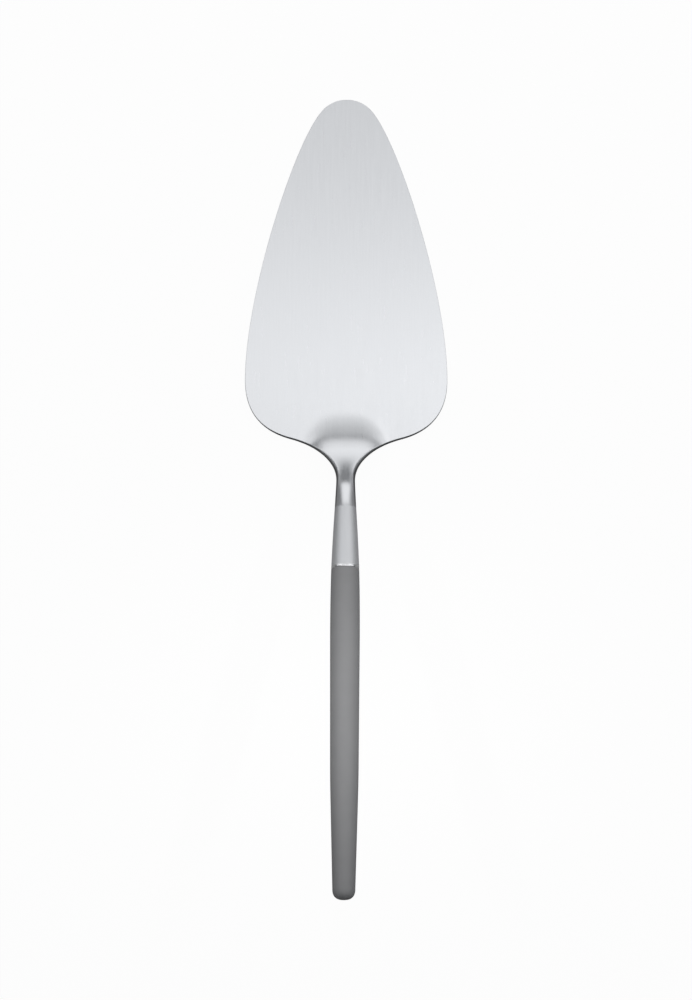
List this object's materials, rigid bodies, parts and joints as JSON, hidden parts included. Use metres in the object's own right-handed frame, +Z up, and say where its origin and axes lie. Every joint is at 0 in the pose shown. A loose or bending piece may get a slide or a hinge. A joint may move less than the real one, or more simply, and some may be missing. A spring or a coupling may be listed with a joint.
{
  "type": "cake server",
  "caption": "Slim cake server with a leaf-shaped brushed steel blade, a raised steel neck and a round matte grey grip with a domed end.",
  "frame": {"origin": "on the plane that the blade rests on, halfway between the tip and the tail and on the centreline", "axes": "+Y towards the tip of the blade, +Z up from the resting plane, X across the blade"},
  "size_m": [0.0658, 0.2552, 0.0483],
  "materials": {
    "blade_steel": "satin",
    "neck_steel": "satin",
    "tang_steel": "satin",
    "cured_adhesive": "gloss",
    "grip_resin": "matte"
  },
  "bodies": {
    "root": {"blade": "blade_steel", "neck": "neck_steel", "tang": "tang_steel", "tang_adhesive": "cured_adhesive", "handle": "grip_resin"}
  },
  "joints": []
}
